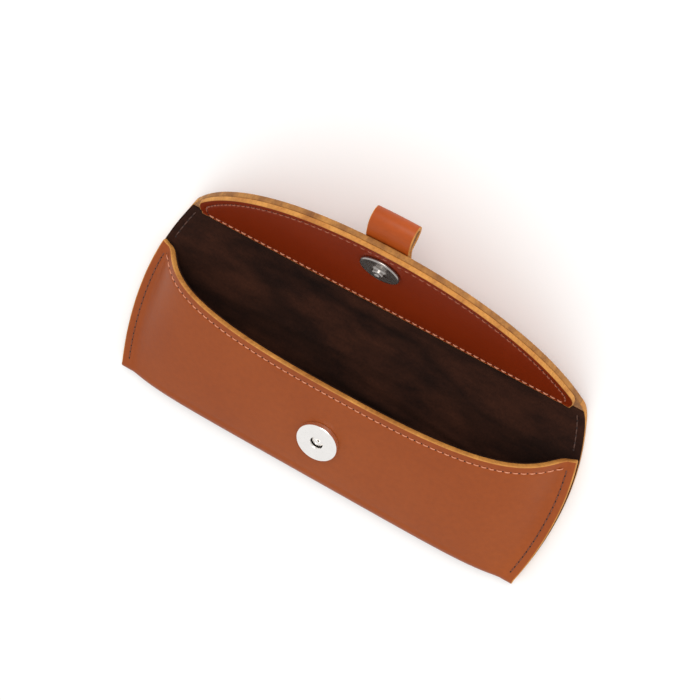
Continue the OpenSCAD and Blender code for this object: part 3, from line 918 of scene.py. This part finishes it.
def snap_stud():
    """The stud's disc, with the nub that goes into the socket's hole."""
    seat = seat_on_facing()
    r, h, nub = STUD_D / 2, STUD_H, NUB_D / 2
    top = h + NUB_H
    profile = [(AXIS, 0.0), (r - 0.15, 0.0), (r, 0.15), (r, h - 0.5)]
    profile += arc((r - 0.5, h - 0.5), 0.5, 8, 82, 8)
    profile += [(r - 0.9, h - 0.02), (r - 2.2, h - 0.10), (nub + 1.2, h - 0.12), (nub + 0.35, h - 0.08)]
    profile += [(nub + 0.05, h + 0.15), (nub, h + 0.4), (nub, top - 0.4)]
    profile += arc((nub - 0.4, top - 0.4), 0.4, 8, 82, 6)
    profile += [(nub - 0.8, top), (0.9, top - 0.02), (0.75, top - 0.3), (AXIS, top - 0.35)]
    # The stud's nickel is darkened: painted shade
    stud = lathe("snap_stud_turned", profile, [STUD_NICKEL_PAINTED_SHADE], seat)
    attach(stud, "flap")
    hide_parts("snap_stud")


# ---- pull tab ----


def tab_path(offset):
    """The tab's strip seen from the side, as (s, z) points, at a distance outside its inner face."""
    root = TIP_S - 1
    reach = TAB_OUT - TAB_GAP / 2 - TAB_T
    t = np.linspace(0, 1, 40)
    skipped = 4
    upper = np.stack([reach * t, offset + TAB_GAP / 2 * np.sin(np.pi / 2 * t)], -1)
    end = np.radians(np.linspace(90, -90, 41)[1:-1])
    radius = TAB_GAP / 2 + offset
    bend = np.stack([reach + radius * np.cos(end), radius * np.sin(end)], -1)
    loop = np.concatenate([upper, bend, upper[::-1] * np.array([1, -1])])
    a = np.radians(TAB_DEG)
    turned = np.stack([
        root + loop[:, 0] * np.cos(a) + loop[:, 1] * np.sin(a),
        -TAB_T - loop[:, 0] * np.sin(a) + loop[:, 1] * np.cos(a),
    ], -1)
    sewn = np.linspace(root - TAB_ROOT + 0.4, root - 1.2, 14)
    first = np.stack([sewn, np.full_like(sewn, -TAB_T + offset)], -1)
    last = np.stack([sewn[::-1], np.full_like(sewn, -TAB_T - offset)], -1)
    return np.concatenate([first, turned[skipped:-skipped], last])


def smooth(path, rounds=6):
    """Rounds off a path's corners, with its ends held."""
    for _ in range(rounds):
        path = np.concatenate([path[:1], 0.25 * path[:-2] + 0.5 * path[1:-1] + 0.25 * path[2:], path[-1:]])
    return path


def pull_tab():
    """The strip, folded to an open loop that swells a little in the middle, and its own stitches."""
    u = spaced(44, 0.4)
    outside, inside = smooth(tab_path(TAB_T - GAP)), smooth(tab_path(WIDE_GAP))
    share = np.linspace(0, 1, len(outside))
    belly_at, belly_run, belly_h = 0.38, 0.16, 0.30
    belly = np.exp(-(((share - belly_at) / belly_run) ** 2))
    width = TAB_W / 2 - TAB_RIM
    x = u[None, :] * width * np.ones_like(share)[:, None]
    swell = belly_h * belly[:, None] * (1 - u[None, :] ** 2)
    out_dir = outside - inside
    out_dir = out_dir / np.linalg.norm(out_dir, axis=1, keepdims=True)
    top = outside[:, None] + swell[..., None] * out_dir[:, None]
    low = inside[:, None] + swell[..., None] * out_dir[:, None]
    outer = place(x, top[..., 0], top[..., 1] - GAP)
    inner = place(x, low[..., 0], low[..., 1] - GAP)
    flat = np.stack([x, share[:, None] * TAB_FLAT_RUN + TAB_FLAT + 0 * x, 0 * x], -1)
    obj = thick_sheet("pull_tab_loop", outer, inner, [TAB, FLESH, HIDE_EDGE], TAB_RIM, flat)
    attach(obj, "flap")
    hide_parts("pull_tab")
    reach = TAB_W / 2 - 2
    x = np.linspace(-reach, reach, 5)
    for number, s in enumerate((TIP_S - TAB_ROOT + 1, TIP_S - 4.5)):
        at = np.full_like(x, s)
        low = place(x, at, -2 * TAB_T - GAP)
        nodes = ["tab_thread"] if number == 0 else []
        stitches(f"tab_stitches_{number}", low, leather_up(at, -1.0), ("flap",), nodes, rise=0.18)


front_leather()
back_leather()
flap_leather()
facing_piece()
back_suede()
front_suede()
seam_rows()
mouth_row()
facing_row()
flap_rows()
bridge_rows()
snap_socket()
snap_stud()
pull_tab()

# CAD nodes whose shape is right, most of them hidden in the leather
for node, material in (
    ("socket_magnet", MAGNET_AND_HOLE_SHADE), ("socket_prongs", STEEL), ("socket_backplate", STEEL),
    ("stud_prongs", STEEL), ("stud_backplate", STEEL),
):
    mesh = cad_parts[node].data
    mesh.materials.clear()
    mesh.materials.append(material)


# ---- floor and light ----


# Half size and height of the floor, just under the lowest leather, and strength of the white surround
FLOOR_HALF, FLOOR_Z = 3.0, -0.0005
SURROUND = 0.90
# The one lamp, behind the case: place, point it is turned to, diameter, watts and tint
KEY_PLACE, KEY_TARGET = (0.15, 0.75, 1.00), (0, 0.01, 0.01)
KEY_SIZE, KEY_WATTS, KEY_TINT = 0.8, 7.5, (1.0, 0.97, 0.92)


def key_light():
    data = bpy.data.lights.new("key", "AREA")
    data.shape = "DISK"
    data.size = KEY_SIZE
    data.energy = KEY_WATTS
    data.color = KEY_TINT
    light = bpy.data.objects.new("key", data)
    bpy.context.scene.collection.objects.link(light)
    light.location = KEY_PLACE
    light.rotation_mode = "QUATERNION"
    light.rotation_quaternion = (Vector(KEY_TARGET) - Vector(KEY_PLACE)).to_track_quat("-Z", "Y")


def studio():
    """White floor, white surround and the lamp."""
    h, low = FLOOR_HALF, FLOOR_Z
    corners = [(-h, -h, low), (h, -h, low), (h, h, low), (-h, h, low)]
    mesh = bpy.data.meshes.new("floor")
    mesh.from_pydata(corners, [], [(0, 1, 2, 3)])
    floor = bpy.data.objects.new("floor", mesh)
    bpy.context.scene.collection.objects.link(floor)
    material, tree, shader = node_material("floor")
    shade = noise(tree, coordinates(tree, False), 3, 2)
    white = ramp(tree, shade, [(0.3, (0.90,) * 3), (0.7, (0.91,) * 3)])
    tree.links.new(white, shader.inputs["Base Color"])
    shader.inputs["Roughness"].default_value = 0.9
    shader.inputs["Specular IOR Level"].default_value = 0.1
    mesh.materials.append(material)
    world = bpy.data.worlds.new("world")
    world.use_nodes = True
    background = world.node_tree.nodes["Background"]
    background.inputs["Color"].default_value = (1.0, 1.0, 1.0, 1)
    background.inputs["Strength"].default_value = SURROUND
    bpy.context.scene.world = world
    key_light()


studio()
# The usual transform greys the white ground and dulls the leather
bpy.context.scene.view_settings.view_transform = "Standard"
